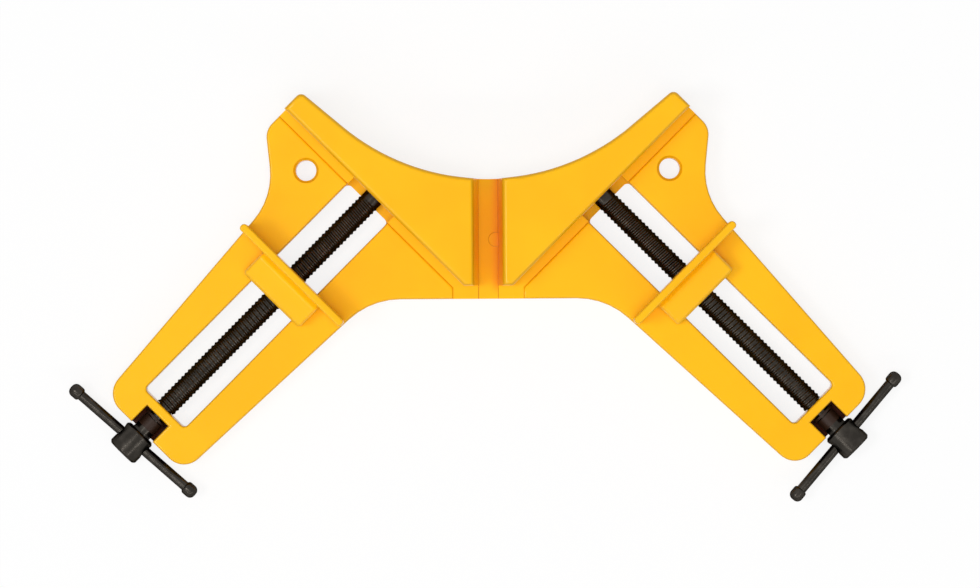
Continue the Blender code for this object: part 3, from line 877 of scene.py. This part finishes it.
def barWay(side):
    return Matrix.Rotation(math.radians(barPlan["leanDegrees"][side]), 3, "Z") @ armAlong(side)


def makeBar():
    bar = cylinder("bar", barPlan["radius"], barPlan["length"], 40)
    roundRims(bar, barPlan["endRound"], 2)
    return bar


def makeCap():  # its lip at z = 0, its round end outwards
    cap = cylinder("cap", barPlan["capRadius"], barPlan["capLength"], 48)
    bevelPicked(cap, barPlan["capRound"], 6, lambda e: isSharp(e) and e.verts[0].co.z > mm)
    bevelPicked(cap, barPlan["capLip"], 3, lambda e: isSharp(e) and e.verts[0].co.z < mm)
    return cap


barShape, capShape = makeBar(), makeCap()
for side in sideWay:
    centre = armPoint(side, headPlan["barU"], layout["slotV"], layout["screwZ"])
    way = barWay(side)
    bar = copyPiece(barShape, side + "CrossBar")
    layAlong(bar, centre - way * barPlan["length"] / 2 * mm, way)
    smooth(bar, 40)
    dress(bar, oxide, side + "_handle", "black_steel", side + "_cross_bar")
    for end, sign in (("outer", 1), ("inner", -1)):
        cap = copyPiece(capShape, side + end.capitalize() + "BarEnd")
        lipPlace = (barPlan["capSpacing"] - barPlan["capLength"]) / 2
        layAlong(cap, centre + way * sign * lipPlace * mm, way * sign)
        smooth(cap, 40)
        dress(cap, oxide, side + "_handle", "black_steel", f"{side}_bar_end_{end}")
for shape in (barShape, capShape):
    bpy.data.objects.remove(shape, do_unlink=True)
print("heads and cross bars made")

# The small nodes keep their shape and take their finish: plated keepers and screws below, washers in
# the pocket's painted shade, and black pins
for name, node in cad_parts.items():
    node.data.materials.clear()
    # the washers sit in the pocket and get its painted shade
    node.data.materials.append(zinc if "keeper" in name else steelInPocketPaintedShade if "washer" in name else oxide)

# Stage: a white floor that keeps a light shadow, white surroundings, even soft light from beside the
# lens, and two boxes whose reflections run as stripes along every turned piece

stagePlan = {
    "floorSize": 12,
    "floorDrop": 0.2,
    "paperShare": 0.18,
    "paperColour": (0.95, 0.95, 0.95, 1),
    "worldStrength": 0.32,
    "flashWatts": 37.2,
    "flashSize": (0.8, 0.8),
    "flashPlace": (0.0, -0.2, 3.3),
    "leftWatts": 24.0,
    "leftSize": (0.7, 0.7),
    "leftPlace": (-1.1, -0.2, 3.0),
    "frontWatts": 15.0,
    "frontSize": (4.0, 0.2),
    "frontPlace": (0.0, -1.5, 2.05),
}


def seenDirectly(tree):  # 1 for what the camera sees itself, in a gloss or through glass, 0 as light
    rays = addNode(tree, "ShaderNodeLightPath").outputs
    seen = addNode(tree, "ShaderNodeMath", links={0: rays["Is Camera Ray"], 1: rays["Is Glossy Ray"]},
                   operation="MAXIMUM")
    return addNode(tree, "ShaderNodeMath", links={0: seen.outputs[0], 1: rays["Is Transmission Ray"]},
                   operation="MAXIMUM").outputs[0]


def makeFloor():
    bpy.ops.object.select_all(action="DESELECT")
    drop = (0, 0, -stagePlan["floorDrop"] * mm)
    bpy.ops.mesh.primitive_plane_add(size=stagePlan["floorSize"], location=drop)
    floor = bpy.context.active_object
    floor.name = "floor"
    made = bpy.data.materials.new("whiteSweep")
    made.use_nodes = True
    tree = made.node_tree
    tree.nodes.clear()
    paper = addNode(tree, "ShaderNodeBsdfDiffuse", {"Color": stagePlan["paperColour"]})
    glow = addNode(tree, "ShaderNodeEmission", {"Color": (1, 1, 1, 1), "Strength": 1.0})
    share = addNode(tree, "ShaderNodeMath", {1: 1 - stagePlan["paperShare"]}, {0: seenDirectly(tree)},
                    operation="MULTIPLY")
    mixed = addNode(tree, "ShaderNodeMixShader",
                    links={0: share.outputs[0], 1: paper.outputs[0], 2: glow.outputs[0]})
    addNode(tree, "ShaderNodeOutputMaterial", links={"Surface": mixed.outputs[0]})
    floor.data.materials.append(made)


def makeWorld():
    world = bpy.data.worlds.new("studio")
    scene.world = world
    world.use_nodes = True
    tree = world.node_tree
    tree.nodes.clear()
    strength = addNode(tree, "ShaderNodeMapRange", {"To Min": stagePlan["worldStrength"], "To Max": 1.0},
                       {"Value": seenDirectly(tree)})
    sky = addNode(tree, "ShaderNodeBackground", {"Color": (1, 1, 1, 1)},
                  {"Strength": strength.outputs["Result"]})
    addNode(tree, "ShaderNodeOutputWorld", links={"Surface": sky.outputs[0]})


def addLamp(kind):  # a soft box that looks at the clamp
    size, place = stagePlan[kind + "Size"], stagePlan[kind + "Place"]
    data = bpy.data.lights.new(kind + "Box", "AREA")
    data.shape = "RECTANGLE"
    data.size, data.size_y = size
    data.energy = stagePlan[kind + "Watts"]
    lamp = bpy.data.objects.new(kind + "Box", data)
    lamp.location = place
    lamp.rotation_mode = "QUATERNION"
    lamp.rotation_quaternion = (-Vector(place)).to_track_quat("-Z", "Y")
    scene.collection.objects.link(lamp)
    return lamp


makeFloor()
makeWorld()
addLamp("flash").visible_glossy = False  # polarised, so that the flat enamel has no glare
addLamp("left")
addLamp("front")
scene.view_settings.view_transform = "Standard"
print("stage set")
